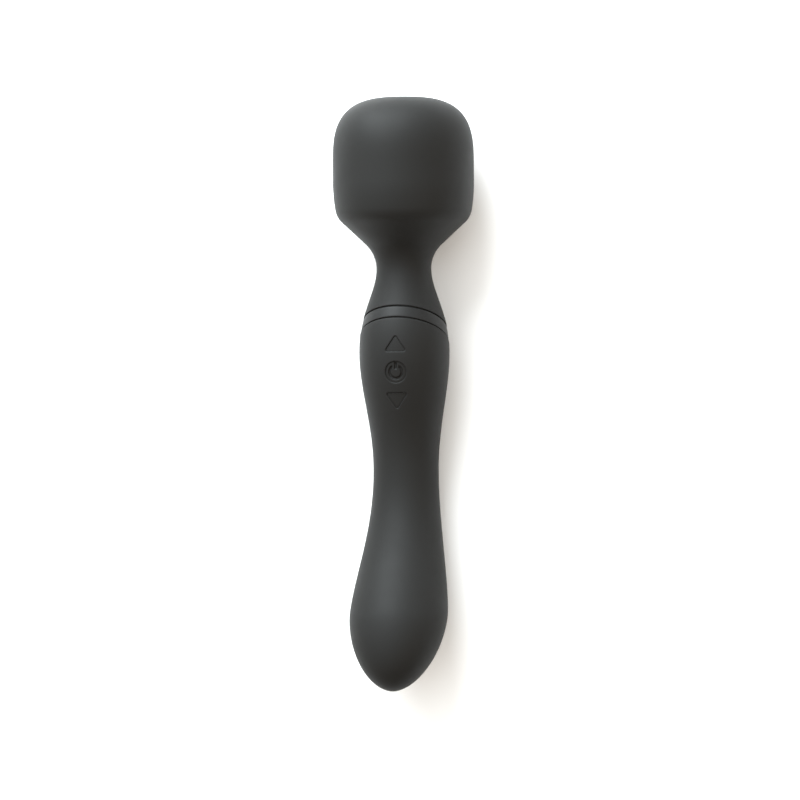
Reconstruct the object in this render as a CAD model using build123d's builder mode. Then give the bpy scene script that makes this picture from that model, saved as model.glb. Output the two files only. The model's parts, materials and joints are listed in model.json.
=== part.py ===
from build123d import *
from math import atan2, cos, degrees, pi, radians, sin, sqrt, tan
import os

# A cordless hand-held wand massager: a soft domed head on a springy neck, and a bent handle that
# holds the keys, the circuit board, the cell and a second small motor in its rounded end.
# It is drawn standing on its tip: Z runs up the handle to the head, -Y is the front with the keys
# and X = 0 is its plane of symmetry. At the end every piece is laid on its back, as it rests on a table.

# ---------------------------------------------------------------- outer form, in millimetres
bulb_height, bulb_radius = 30.0, 19.6  # widest place of the handle's rounded end
waist_height, waist_radius = 87.0, 13.1  # slimmest place of the grip
shoulder_height, shoulder_radius = 134.0, 18.1
neck_height, neck_radius = 168.0, 11.0  # slimmest place of the neck
head_radius = 28.3
head_band = 8.0  # straight band round the head, for slip-on caps
crown_height = 26.6  # from the band to the top of the dome
tip_lean = 22.0  # degrees that the handle's end leans forward
waist_sag = 2.0  # how far the waist lies behind the straight axis
flex_reach = 11.0  # the neck bends this far to each side of its slimmest place

# Oblique seams round the top of the handle: height on the axis, and slope from front to back.
upper_seam_height, upper_seam_slope = 146.5, 24.0
lower_seam_height, lower_seam_slope = 140.6, 26.0
seam_gap = 0.3

# ---------------------------------------------------------------- walls and clearances
grip_skin = 2.5  # silicone over the handle
head_skin = 3.0  # silicone over the head
shell_wall = 1.8
cup_wall = 2.0
seat_gap = 0.1  # between pieces that sit still against each other
moving_gap = 0.3  # between pieces that move past each other
shaft_gap = 0.05  # a shaft in its bearing
screw_gap = 0.05

room = 4 * head_radius  # larger than any piece is across
flex_low = neck_height - flex_reach
flex_high = neck_height + flex_reach
bore_radius = 2.2  # way for the wires through the neck
rising = (Align.CENTER, Align.CENTER, Align.MIN)  # a cylinder or box that stands on its plane
hanging = (Align.CENTER, Align.CENTER, Align.MAX)  # one that hangs below it


def ease(share):
    """0 to 1 with a level start and end."""
    return share * share * (3 - 2 * share)


def swell(start, end, share, skew):
    """A radius that runs smoothly from start to end."""
    return start + (end - start) * ease(share**skew)


def handle_radius(height):
    """Half width of the handle at a height above its tip."""
    if height < bulb_height:
        share = 1 - height / bulb_height
        return bulb_radius * (1 - share**1.8) ** 0.55
    if height < waist_height:
        share = (height - bulb_height) / (waist_height - bulb_height)
        return swell(bulb_radius, waist_radius, share, 0.8)
    if height < shoulder_height:
        share = (height - waist_height) / (shoulder_height - waist_height)
        return swell(waist_radius, shoulder_radius, share, 1.1)
    share = min(1, (height - shoulder_height) / (neck_height - shoulder_height))
    return swell(shoulder_radius, neck_radius, share, 1.3)


bend_start = waist_height + 5
bend_length = 46.0


def sway(height):
    """How far the middle of the handle lies behind the straight axis at a height."""
    back = waist_sag * ease(min(1, max(0, (shoulder_height - height) / (shoulder_height - bend_start))))
    share = (bend_start - height) / bend_length
    if share <= 0:
        return back
    if share < 1:
        return back - tan(radians(tip_lean)) * bend_length * (share**3 - share**4 / 2)
    return back - tan(radians(tip_lean)) * bend_length * (share - 0.5)


def inset_circle(height, inset):
    """Height and radius of the circle that lies a wall's thickness inside the skin at a height."""
    step = 0.01
    slope = (handle_radius(height + step) - handle_radius(height - step)) / (2 * step)
    length = sqrt(1 + slope**2)
    return height + inset * slope / length, handle_radius(height) - inset / length


station_heights = [bulb_height * (1 - cos(pi / 2 * step / 8)) + 0.15 for step in range(8)]
station_heights += [bulb_height + (waist_height - bulb_height) * step / 6 for step in range(6)]
station_heights += [waist_height + (shoulder_height - waist_height) * step / 5 for step in range(5)]
station_heights += [shoulder_height + (flex_low - shoulder_height) * step / 4 for step in range(5)]


def handle_solid(inset, recess=0.0):
    """The handle's outer form from tip to neck, taken in by inset; recess cuts its top lower."""
    circles = []
    last_height = -1
    for station in station_heights:
        height, radius = inset_circle(station, inset)
        if height < last_height + 0.5:
            continue
        last_height = height
        with BuildSketch(Plane.XY.offset(height)) as circle:
            with Locations((0, sway(height))):
                Circle(radius)
        circles.append(circle.sketch)
    with BuildPart() as body:
        loft(sections=circles)
        if recess:
            split(bisect_by=Plane.XY.offset(flex_low - recess), keep=Keep.BOTTOM)
    return body.part


# The head's outline, from the neck up: a hollow arc, a straight flare, a tight corner, a slow
# arc that ends upright, the straight band and a superelliptic crown.
flare_angle = 47.0
neck_arc, jaw_arc, side_arc = 13.5, 8.5, 63.0  # radii
side_turn = 10.0  # degrees that the side arc turns
crown_power = 3.0


def head_outline(inset, floor):
    """Half section of the head and the upper neck above floor, taken in by inset."""
    flare = radians(flare_angle)
    side = radians(side_turn)
    arcs_reach = neck_arc * (1 - cos(flare)) + jaw_arc * (cos(side) - cos(flare))
    arcs_reach += side_arc * (1 - cos(side))
    flare_length = (head_radius - neck_radius - arcs_reach) / sin(flare)
    with BuildSketch() as section:
        with BuildLine():
            neck_heights = [flex_low + flex_reach * step / 4 for step in range(5)]
            neck_points = [(handle_radius(height) - inset, height) for height in neck_heights]
            Line((0, flex_low), neck_points[0])
            Spline(neck_points, tangents=[neck_slope, (0, 1)])
            hollow = JernArc(neck_points[-1], (0, 1), neck_arc + inset, -flare_angle)
            straight = PolarLine(hollow @ 1, flare_length, direction=hollow % 1)
            jaw = JernArc(straight @ 1, straight % 1, jaw_arc - inset, flare_angle - side_turn)
            cheek = JernArc(jaw @ 1, jaw % 1, side_arc - inset, side_turn)
            band = PolarLine(cheek @ 1, head_band, direction=(0, 1))
            base = (band @ 1).Y
            crown_points = []
            for angle in (0, 4, 13, 27, 45, 62, 75, 84):
                across = cos(radians(angle)) ** (2 / crown_power)
                up = sin(radians(angle)) ** (2 / crown_power)
                normal = Vector(
                    across ** (crown_power - 1) / head_radius, up ** (crown_power - 1) / crown_height
                ).normalized()
                crown_points.append(Vector(head_radius * across, base + crown_height * up) - normal * inset)
            crown_points.append(Vector(0, base + crown_height - inset))
            crown = Spline(crown_points, tangents=[(0, 1), (-1, 0)])
            Line(crown @ 1, (0, flex_low))
        make_face()
        with Locations((0, floor)):
            Rectangle(2 * room, 2 * room, align=(Align.CENTER, Align.MIN), mode=Mode.INTERSECT)
    return section.sketch


slope_step = 0.01
neck_slope = (handle_radius(flex_low + slope_step) - handle_radius(flex_low - slope_step), 2 * slope_step)
head_top = head_outline(0, flex_low).bounding_box().max.Y
band_top = head_top - crown_height
band_bottom = band_top - head_band


def block(size_x, size_y, size_z, centre):
    with BuildPart() as body:
        with Locations(centre):
            Box(size_x, size_y, size_z)
    return body.part


lower_seam = Plane(origin=(0, 0, lower_seam_height), z_dir=(0, tan(radians(lower_seam_slope)), 1))
upper_seam = Plane(origin=(0, 0, upper_seam_height), z_dir=(0, tan(radians(upper_seam_slope)), 1))

outer_form = handle_solid(0)
under_skin = handle_solid(grip_skin)
shell_form = handle_solid(grip_skin + seat_gap)
shell_room = handle_solid(grip_skin + seat_gap + shell_wall)
wall_sum = grip_skin + seat_gap + shell_wall


def cavity_radius(height):
    """Inside radius of the two shells at a height."""
    return handle_radius(height) - wall_sum


# ---------------------------------------------------------------- keys
power_height = shoulder_height - 7.4
key_reach = 8.3  # from the power key's centre to the arrows' bases
arrow_base, arrow_rise = 8.8, 6.4
power_radius = 4.2
key_recess = 0.45  # the key tops lie this deep in the skin
key_travel = 0.4
flange_depth = 1.0
flange_width, flange_height = 9.6, 9.0
stem_radius = 1.6
board_front = -6.6  # y of the circuit board's front face
switch_height = 3.5
plunger_radius, plunger_rise = 1.5, 1.0
plunger_face = board_front - switch_height - plunger_rise

key_heights = {
    "up": power_height + key_reach + arrow_rise / 3,
    "power": power_height,
    "down": power_height - key_reach - arrow_rise / 3,
}


def key_outline(name, clearance):
    """Front view of a key, on the plane X-Z, grown or taken in by clearance."""
    with BuildSketch(Plane.XZ) as outline:
        if name == "power":
            with Locations((0, power_height)):
                Circle(power_radius + clearance)
        else:
            way = 1 if name == "up" else -1
            base = power_height + way * key_reach
            with BuildLine():
                Polyline(
                    (-arrow_base / 2, base), (arrow_base / 2, base), (0, base + way * arrow_rise), close=True
                )
            make_face()
            offset(amount=clearance, kind=Kind.INTERSECTION)
            fillet(outline.vertices(), 0.35)
    return outline.sketch


# ---------------------------------------------------------------- soft skins
spring_outer = 6.9
sleeve_bore = spring_outer + 0.4
cup_floor = flex_high + 3.0  # underside of the head's inner cup
post_top = flex_low - 4.0  # top face of the neck post's body
port_height = shoulder_height - 10.0
port_radius = 1.3
port_mouth_radius = 1.6

cup_inset = head_skin + seat_gap
with BuildPart() as head_cover:
    with BuildSketch(Plane.XZ):
        add(head_outline(0, flex_high))
        add(head_outline(head_skin, cup_floor), mode=Mode.SUBTRACT)
        with Locations((0, flex_high)):
            Rectangle(sleeve_bore, cup_floor - flex_high, align=(Align.MIN, Align.MIN), mode=Mode.SUBTRACT)
    revolve(axis=Axis.Z)

with BuildPart() as neck_sleeve:
    with BuildSketch(Plane.XZ):
        add(head_outline(0, flex_low))
        with Locations((0, flex_high)):
            Rectangle(room, room, align=(Align.MIN, Align.MIN), mode=Mode.SUBTRACT)
        with Locations((0, flex_low)):
            Rectangle(sleeve_bore, room, align=(Align.MIN, Align.MIN), mode=Mode.SUBTRACT)
    revolve(axis=Axis.Z)

with BuildPart() as neck_skirt:
    add(outer_form)
    split(bisect_by=upper_seam.offset(seam_gap / 2), keep=Keep.TOP)
    add(under_skin & block(room, room, room, (0, 0, post_top - room / 2)), mode=Mode.SUBTRACT)
    with Locations((0, 0, flex_low)):
        Cylinder(sleeve_bore, room, mode=Mode.SUBTRACT)

collar_recess = 0.15
collar_form = handle_solid(collar_recess)
with BuildPart() as collar_ring:
    add(collar_form)
    split(bisect_by=upper_seam.offset(-seam_gap / 2), keep=Keep.BOTTOM)
    split(bisect_by=lower_seam.offset(seam_gap / 2), keep=Keep.TOP)
    add(under_skin, mode=Mode.SUBTRACT)

with BuildPart() as handle_sleeve:
    add(outer_form)
    split(bisect_by=lower_seam.offset(-seam_gap / 2), keep=Keep.BOTTOM)
    add(under_skin, mode=Mode.SUBTRACT)
    for name in key_heights:
        extrude(key_outline(name, 0), amount=room / 2, mode=Mode.SUBTRACT)
    with Locations(Location((0, 0, port_height), (-90, 0, 0))):
        Cylinder(port_mouth_radius, room / 2, align=rising, mode=Mode.SUBTRACT)

# ---------------------------------------------------------------- keys and their switches
key_form = handle_solid(key_recess)
flange_form = handle_solid(grip_skin + moving_gap)
flange_back = handle_solid(grip_skin + moving_gap + flange_depth)
mark_radius, mark_line, mark_depth = 2.1, 0.6, 0.25
mark_form = handle_solid(key_recess + mark_depth)
with BuildPart() as power_mark:
    with BuildSketch(Plane.XZ):
        with Locations((0, power_height)):
            Circle(mark_radius + mark_line / 2)
            Circle(mark_radius - mark_line / 2, mode=Mode.SUBTRACT)
        with Locations((0, power_height + mark_radius)):
            Rectangle(5 * mark_line, mark_radius, mode=Mode.SUBTRACT)
            Rectangle(mark_line, mark_radius)
    extrude(amount=room / 2)
    add(mark_form, mode=Mode.SUBTRACT)

keys = {}
plungers = {}
for name, height in key_heights.items():
    with BuildPart() as key:
        extrude(key_outline(name, -moving_gap), amount=room / 2)
        add(key_form, mode=Mode.INTERSECT)
        add(flange_back, mode=Mode.SUBTRACT)
        flange_front = handle_radius(height) - sway(height) - grip_skin - moving_gap
        flange_room = block(flange_width, room, flange_height, (0, -room / 2, height))
        add((flange_form - flange_back) & flange_room)
        with Locations(Location((0, plunger_face, height), (90, 0, 0))):
            Cylinder(stem_radius, flange_front - flange_depth / 2 + plunger_face, align=rising)
        if name == "power":
            add(power_mark.part, mode=Mode.SUBTRACT)
    keys[name] = key
    with BuildPart() as plunger:
        with Locations(Location((0, plunger_face, height), (-90, 0, 0))):
            Cylinder(plunger_radius, plunger_rise + 0.8, align=rising)
    plungers[name] = plunger

# ---------------------------------------------------------------- cell, board and charging socket
cell_length = 43.0
cell_gap = 0.2
cell_y = 0.7
cell_centre = waist_height - 1.5
cell_radius = cavity_radius(waist_height) - abs(sway(waist_height) - cell_y) - cell_gap - seat_gap
cell_bottom, cell_top = cell_centre - cell_length / 2, cell_centre + cell_length / 2

with BuildPart() as battery_cell:
    with Locations((0, cell_y, cell_centre)):
        Cylinder(cell_radius, cell_length)
        fillet(battery_cell.edges(), 0.8)
tab_wall = 0.5
with BuildPart() as battery_tabs:
    with Locations((0, cell_y, cell_top)):
        Box(2 * cell_radius - 4, 3.0, tab_wall, align=rising)
    with Locations((0, cell_y, cell_bottom)):
        Box(7.0, cell_radius - 1.0, tab_wall, align=(Align.CENTER, Align.MIN, Align.MAX))

board_wall = 1.2
board_width = 13.0
board_length = 34.0
board_centre = power_height + 1.0
board_back = board_front + board_wall
with BuildPart() as circuit_board:
    with Locations((0, board_front + board_wall / 2, board_centre)):
        Box(board_width, board_wall, board_length)
        fillet(circuit_board.edges().filter_by(Axis.Y), 1.0)

chip_rise = 1.4
chip_places = [  # x, height from the board's middle, width, height
    (-2.5, -3.5, 5.0, 6.0),
    (3.5, -5.0, 4.0, 3.0),
    (3.5, 0.5, 3.0, 3.0),
    (-3.5, 4.5, 3.0, 1.6),
]
with BuildPart() as board_chips:
    for x, along, wide, high in chip_places:
        with Locations((x, board_back + chip_rise / 2, board_centre + along)):
            Box(wide, chip_rise, high)
connector_rise = 4.0
plug_above, plug_below, plug_aside = 13.0, 13.5, 3.2  # from the board's middle
with BuildPart() as wire_connectors:
    for x, along in ((0, plug_above), (-plug_aside, -plug_below), (plug_aside, -plug_below)):
        with Locations((x, board_back + connector_rise / 2, board_centre + along)):
            Box(5.2, connector_rise, 4.0)

plunger_seat = 2.2  # depth of a plunger's hole in its switch
with BuildPart() as tact_switches:
    for height in key_heights.values():
        with Locations((0, board_front - switch_height / 2, height)):
            Box(6.0, switch_height, 6.0)
        with Locations(Location((0, board_front - switch_height, height), (-90, 0, 0))):
            Cylinder(plunger_radius + moving_gap / 2, plunger_seat, align=rising, mode=Mode.SUBTRACT)

socket_radius = 3.0
socket_flange = 4.4
socket_mouth = sway(port_height) + handle_radius(port_height) - grip_skin - 0.4
port_depth = 9.2
socket_back = socket_mouth - port_depth - 0.8
shell_inside_back = sway(port_height) + cavity_radius(port_height)
with BuildPart() as charging_socket:
    with Locations(Location((0, socket_back, port_height), (-90, 0, 0))):
        Cylinder(socket_radius, socket_mouth - socket_back, align=rising)
    with Locations(Location((0, shell_inside_back - 2.0, port_height), (-90, 0, 0))):
        Cylinder(socket_flange, 1.0, align=rising)
    with Locations(Location((0, socket_mouth - port_depth, port_height), (-90, 0, 0))):
        Cylinder(port_radius, port_depth, align=rising, mode=Mode.SUBTRACT)
pin_reach = 1.6
with BuildPart() as socket_pins:
    for x in (-1.5, 1.5):
        with Locations(Location((x, socket_back, port_height), (90, 0, 0))):
            Cylinder(0.45, pin_reach, align=rising)

# ---------------------------------------------------------------- neck post and spring
spigot_radius = 4.9
spigot_rise = 6.0
post_radius = 8.0
post_length = 8.0
post_flange = cavity_radius(post_top - 5.0) + 0.9
with BuildPart() as neck_post:
    with Locations((0, 0, post_top)):
        Cylinder(post_radius, post_length, align=hanging)
        Cylinder(spigot_radius, spigot_rise, align=rising)
    with Locations((0, 0, post_top - 4.0)):
        Cylinder(post_flange, 2.0, align=hanging)
    with Locations((0, 0, post_top)):
        Cylinder(bore_radius, room, mode=Mode.SUBTRACT)

wire_radius = 0.9
spring_radius = spring_outer - wire_radius
spring_low = post_top + wire_radius + seat_gap
spring_high = cup_floor - wire_radius - seat_gap
spring_length = spring_high - spring_low
spring_turns = 11
with BuildPart() as neck_spring:
    with BuildLine() as coil:
        Helix(spring_length / spring_turns, spring_length, spring_radius, (0, 0, spring_low))
    with BuildSketch(Plane(coil.line @ 0, z_dir=coil.line % 0)):
        Circle(wire_radius)
    sweep(is_frenet=True)

# ---------------------------------------------------------------- motors
bush_rise = 2.2
can_wall = 0.8
cap_length = 3.0
magnet_wall = 1.8
magnet_setback = 2.0  # from the inside of the can's face
armature_setback = 3.5
armature_slots = 3


def motor_pieces(place, radius, length, shaft_radius, weight_radius, weight_length, weight_gap):
    """A can motor whose output face lies on the plane place, with the shaft along its normal."""
    inside = length - cap_length  # from the output face to the end cap
    bush_radius = shaft_radius + 1.4
    magnet_radius = radius - can_wall - seat_gap
    armature_radius = magnet_radius - magnet_wall - moving_gap
    with BuildPart(place) as can:
        Cylinder(radius, inside, align=hanging)
        with Locations((0, 0, -can_wall)):
            Cylinder(radius - can_wall, length, align=hanging, mode=Mode.SUBTRACT)
        Cylinder(bush_radius + 0.8, bush_rise, align=rising)
        Cylinder(bush_radius + seat_gap / 2, 4 * bush_rise, mode=Mode.SUBTRACT)
    with BuildPart(place) as bush:
        with Locations((0, 0, -can_wall)):
            Cylinder(bush_radius, bush_rise + can_wall, align=rising)
        Cylinder(shaft_radius + shaft_gap, 4 * bush_rise, mode=Mode.SUBTRACT)
    with BuildPart(place) as cap:
        with Locations((0, 0, -inside - seat_gap)):
            Cylinder(radius - 0.3, cap_length - seat_gap, align=hanging)
        with Locations((0, 0, -inside)):
            Cylinder(shaft_radius + shaft_gap, cap_length, mode=Mode.SUBTRACT)
    with BuildPart(place) as magnets:
        with Locations((0, 0, -can_wall - magnet_setback)):
            Cylinder(magnet_radius, inside - 5, align=hanging)
            Cylinder(magnet_radius - magnet_wall, length, align=hanging, mode=Mode.SUBTRACT)
            Box(2 * radius, 3.0, 2 * length, mode=Mode.SUBTRACT)  # parts the two magnets
    with BuildPart(place) as armature:
        with Locations((0, 0, -can_wall - armature_setback)):
            Cylinder(armature_radius, inside - 9, align=hanging)
        with Locations((0, 0, -inside + 4)):  # the commutator
            Cylinder(shaft_radius + 1.6, 3.2, align=hanging)
        with PolarLocations(armature_radius, armature_slots):
            Box(3.0, 1.6, 2 * length, mode=Mode.SUBTRACT)
        Cylinder(shaft_radius, 4 * length, mode=Mode.SUBTRACT)
    shaft_end = weight_gap + weight_length + 0.8
    with BuildPart(place) as shaft:
        with Locations((0, 0, shaft_end)):
            Cylinder(shaft_radius, shaft_end + inside + 0.9, align=hanging)
    with BuildPart(place) as weight:
        with BuildSketch(place.offset(weight_gap)):
            Circle(weight_radius)
            with Locations((0, weight_radius / 2 + shaft_radius + 1.2)):
                Rectangle(3 * weight_radius, weight_radius, mode=Mode.SUBTRACT)
            Circle(shaft_radius + 1.6)
            Circle(shaft_radius, mode=Mode.SUBTRACT)
        extrude(amount=weight_length)
    return {
        "motor_can": can,
        "motor_bush": bush,
        "motor_end_cap": cap,
        "motor_magnets": magnets,
        "motor_armature": armature,
        "motor_shaft": shaft,
        "weight": weight,
    }


head_motor_radius, head_motor_length = 12.1, 27.0
head_motor_face = cup_floor + cup_wall + 32.5
head_place = Plane.XY.offset(head_motor_face)
head_motor = motor_pieces(head_place, head_motor_radius, head_motor_length, 1.0, 16.5, 8.5, 3.5)

lean = radians(tip_lean)
tail_motor_radius, tail_motor_length = 8.0, 18.0
tail_face_height = bulb_height - 3.0
tail_origin = (0, sway(tail_face_height), tail_face_height)
tail_place = Plane(origin=tail_origin, x_dir=(1, 0, 0), z_dir=(0, -sin(lean), -cos(lean)))
tail_motor = motor_pieces(tail_place, tail_motor_radius, tail_motor_length, 0.75, 9.0, 5.5, 3.0)

sleeve_wall = 1.2
sleeve_sum = seat_gap + sleeve_wall
with BuildPart(head_place) as head_motor_sleeve:
    with Locations((0, 0, -3.0)):
        Cylinder(head_motor_radius + sleeve_sum, head_motor_length - 8, align=hanging)
        Cylinder(head_motor_radius + seat_gap, room, mode=Mode.SUBTRACT)
with BuildPart(tail_place) as tail_motor_sleeve:
    with Locations((0, 0, -1.5)):
        Cylinder(tail_motor_radius + sleeve_sum, tail_motor_length - 5, align=hanging)
        Cylinder(tail_motor_radius + seat_gap, room, mode=Mode.SUBTRACT)

# ---------------------------------------------------------------- the head's cup, plate and lid
parting_height = band_top - 3.0
lap = 2.0
lap_wall = 0.9
cup_inner = head_radius - head_skin - seat_gap - cup_wall
post_ring = 18.5  # radius of the circle that the plate's screws stand on
pillar_radius = 2.6
screw_radius, screw_head, screw_head_rise = 1.0, 1.9, 1.3
plate_wall = 2.0
plate_posts = 3
plate_angle = 30  # of the first screw
motor_screw_gap = 16.0
support_radius = head_motor_radius + sleeve_sum + seat_gap

with BuildPart() as cup_form:
    with BuildSketch(Plane.XZ):
        add(head_outline(cup_inset + cup_wall / 2, cup_floor + cup_wall / 2))
    revolve(axis=Axis.Z)

# pillars under the plate, a seat under the motor and ribs round its rubber sleeve
with BuildPart() as cup_fittings:
    with BuildSketch(Plane.XY.offset(cup_floor)):
        with PolarLocations(post_ring, plate_posts, start_angle=plate_angle):
            Circle(pillar_radius)
    extrude(amount=head_motor_face - cup_floor)
    with BuildSketch(Plane.XY.offset(cup_floor)):
        Circle(head_motor_radius)
        Circle(head_motor_radius - 3, mode=Mode.SUBTRACT)
    extrude(amount=head_motor_face - head_motor_length - cup_floor - seat_gap)
    with BuildSketch(Plane.XY.offset(cup_floor)):
        with PolarLocations(support_radius + room / 4, 6):
            Rectangle(room / 2, 1.6)
    extrude(amount=head_motor_face - 8.0 - cup_floor)

with BuildPart() as head_cup:
    with BuildSketch(Plane.XZ):
        add(head_outline(cup_inset, cup_floor))
        add(head_outline(cup_inset + cup_wall, cup_floor + cup_wall), mode=Mode.SUBTRACT)
        with Locations((0, parting_height)):
            Rectangle(room, room, align=(Align.MIN, Align.MIN), mode=Mode.SUBTRACT)
        with Locations((cup_inner, parting_height - lap)):
            Rectangle(lap_wall, 2 * lap, align=(Align.MIN, Align.MIN))
    revolve(axis=Axis.Z)
    add(cup_form.part & cup_fittings.part)
    with Locations((0, 0, cup_floor)):
        Cylinder(spigot_radius, spigot_rise, align=hanging)
        Cylinder(bore_radius, 4 * cup_wall + spigot_rise, mode=Mode.SUBTRACT)
    with Locations(Plane.XY.offset(head_motor_face)):
        with PolarLocations(post_ring, plate_posts, start_angle=plate_angle):
            Hole(screw_radius + screw_gap, depth=9.0)

with BuildPart() as motor_plate:
    with BuildSketch(Plane.XY.offset(head_motor_face)):
        Circle(post_ring + pillar_radius)
        Circle(4.0, mode=Mode.SUBTRACT)
        with PolarLocations(post_ring, plate_posts, start_angle=plate_angle + 60):
            Circle(6.0, mode=Mode.SUBTRACT)
    extrude(amount=plate_wall)
    with Locations(Plane.XY.offset(head_motor_face + plate_wall)):
        with PolarLocations(post_ring, plate_posts, start_angle=plate_angle):
            Hole(screw_radius + screw_gap)
        with GridLocations(motor_screw_gap, 0, 2, 1):
            Hole(screw_radius + screw_gap)


def screw(length):
    """A round-headed screw whose head sits on the plane Z = 0 and whose shank points down."""
    with BuildPart() as body:
        Cylinder(screw_head, screw_head_rise, align=rising)
        fillet(body.edges().sort_by(Axis.Z)[-1], 0.5)
        with BuildSketch(Plane.XY.offset(screw_head_rise)):
            Rectangle(2.2, 0.5)
            Rectangle(0.5, 2.2)
        extrude(amount=-0.7, mode=Mode.SUBTRACT)
        Cylinder(screw_radius, length, align=hanging)
        chamfer(body.edges().sort_by(Axis.Z)[0], 0.4)
    return body.part


plate_screw = screw(8.0)
with BuildPart() as plate_screws:
    with Locations(Plane.XY.offset(head_motor_face + plate_wall)):
        with PolarLocations(post_ring, plate_posts, start_angle=plate_angle):
            add(plate_screw)
motor_screw = screw(plate_wall)
with BuildPart() as motor_screws:
    with Locations(Plane.XY.offset(head_motor_face + plate_wall)):
        with GridLocations(motor_screw_gap, 0, 2, 1):
            add(motor_screw)

with BuildPart() as head_lid:
    with BuildSketch(Plane.XZ):
        add(head_outline(cup_inset, parting_height + seat_gap))
        add(head_outline(cup_inset + cup_wall, parting_height), mode=Mode.SUBTRACT)
        with Locations((0, parting_height)):
            lap_reach = cup_inner + lap_wall + seat_gap
            Rectangle(lap_reach, lap + seat_gap, align=(Align.MIN, Align.MIN), mode=Mode.SUBTRACT)
    revolve(axis=Axis.Z)

# ---------------------------------------------------------------- the two handle shells
rib_wall = 2.0
boss_radius = 2.4
boss_places = [
    (sway(0.37 * bulb_height), 0.37 * bulb_height),
    (sway(55.0) - 3.5, cell_bottom - 8.5),
    (7.0, power_height - 11.4),
    (6.0, power_height + 15.0),
]
window_width = 2 * 6.2
window_height = 2 * key_reach + 2 * arrow_rise + 5.0
lead_radius = 0.45
lead_y = 8.6  # the wires run behind the cell
lead_places = (-2.4, 1.2, 2.6)

with BuildPart() as cell_ribs:
    for height in (cell_bottom + 4, cell_top - 4):
        with Locations((0, 0, height)):
            Box(room, room, rib_wall)
    with Locations((0, cell_y, cell_centre)):
        Cylinder(cell_radius + cell_gap, room, mode=Mode.SUBTRACT)
    with Locations((0, lead_y, cell_centre)):
        Box(2 * lead_places[2] + 3 * lead_radius, 4 * lead_radius, room, mode=Mode.SUBTRACT)

with BuildPart(tail_place) as tail_ribs:
    for depth in (-3.5, -tail_motor_length + 5.5):
        with Locations((0, 0, depth)):
            Box(room, room, rib_wall)
    Cylinder(tail_motor_radius + 2 * seat_gap + sleeve_wall, room, mode=Mode.SUBTRACT)

rail_reach = 1.4
with BuildPart() as board_rails:
    for x in (-room / 2, room / 2):
        with Locations((x, board_front + board_wall / 2, board_centre)):
            Box(room - board_width + 2 * rail_reach, board_wall + 3.0, board_length - 14)
    with Locations((0, board_front + board_wall / 2, board_centre)):
        Box(board_width + 2 * seat_gap, board_wall + 2 * seat_gap, room, mode=Mode.SUBTRACT)

with BuildPart() as shell_bosses:
    with BuildSketch(Plane.YZ):
        with Locations(*boss_places):
            Circle(boss_radius)
    extrude(amount=room / 2, both=True)

with BuildPart() as shell_pair:
    add(shell_form)
    split(bisect_by=Plane.XY.offset(post_top), keep=Keep.BOTTOM)
    add(shell_room, mode=Mode.SUBTRACT)
    add(shell_form & cell_ribs.part)
    add(shell_form & tail_ribs.part)
    add(shell_form & board_rails.part)
    add(shell_form & shell_bosses.part)
    with Locations((0, 0, post_top - 4.0)):
        Cylinder(post_flange + seat_gap, 2.0 + 2 * seat_gap, align=hanging, mode=Mode.SUBTRACT)
    with Locations((0, -room / 4, power_height)):
        Box(window_width, room / 2 - 2 * socket_radius, window_height, mode=Mode.SUBTRACT)
    with Locations(Location((0, socket_back, port_height), (-90, 0, 0))):
        Cylinder(socket_radius + seat_gap, room / 2, align=rising, mode=Mode.SUBTRACT)

shell_screw_length = 9.0
screw_seat = 4.0  # the heads sit this far to the right of the parting plane
shells = {}
for side, keep in (("left", Keep.BOTTOM), ("right", Keep.TOP)):
    with BuildPart() as shell:
        add(shell_pair.part)
        split(bisect_by=Plane.YZ, keep=keep)
        with BuildSketch(Plane.YZ.offset(-shell_screw_length)):
            with Locations(*boss_places):
                Circle(screw_radius + screw_gap)
        extrude(amount=2 * shell_screw_length, mode=Mode.SUBTRACT)
        with BuildSketch(Plane.YZ.offset(screw_seat)):
            with Locations(*boss_places):
                Circle(screw_head + 2 * screw_gap)
        extrude(amount=room, mode=Mode.SUBTRACT)
    shells[side] = shell

shell_screw = screw(shell_screw_length)
with BuildPart() as shell_screws:
    for y, height in boss_places:
        with Locations(Location((screw_seat, y, height), (0, 90, 0))):
            add(shell_screw)

# ---------------------------------------------------------------- wires


def wire(points, radius, bend):
    """A round wire through points, with an arc of radius bend at each corner."""
    with BuildPart() as body:
        with BuildLine() as route:
            if len(points) == 2:
                Line(*points)
            else:
                FilletPolyline(*points, radius=bend)
        with BuildSketch(Plane(route.line @ 0, z_dir=route.line % 0)):
            Circle(radius)
        sweep()
    return body.part


bend = 0.9
turn_height = cell_top + 2.4
plug_gap = 1.0  # from a plug's middle to each of its wires
plug_top, plug_low = board_centre + plug_above, board_centre - plug_below
plug_face = board_back + connector_rise
head_terminal = head_motor_face - head_motor_length - seat_gap
with BuildPart() as head_motor_leads:
    for x in (-plug_gap, plug_gap):
        add(wire([(x, 0, head_terminal), (x, 0, plug_top), (x, plug_face, plug_top)], lead_radius, bend / 2))

# one lead from the cell's top, one from its bottom that runs up behind it, both to a plug on the board
with BuildPart() as battery_leads:
    add(
        wire(
            [(-2.2, cell_y, cell_top + tab_wall), (-2.2, cell_y, plug_low), (-2.2, plug_face, plug_low)],
            lead_radius,
            bend,
        )
    )
    add(
        wire(
            [
                (lead_places[0], cell_y + cell_radius - 1.0, cell_bottom - tab_wall),
                (lead_places[0], lead_y, cell_bottom - tab_wall),
                (lead_places[0], lead_y, turn_height),
                (-4.2, 1.2, turn_height),
                (-4.2, 1.2, plug_low),
                (-4.2, plug_face, plug_low),
            ],
            lead_radius,
            bend,
        )
    )

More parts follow.
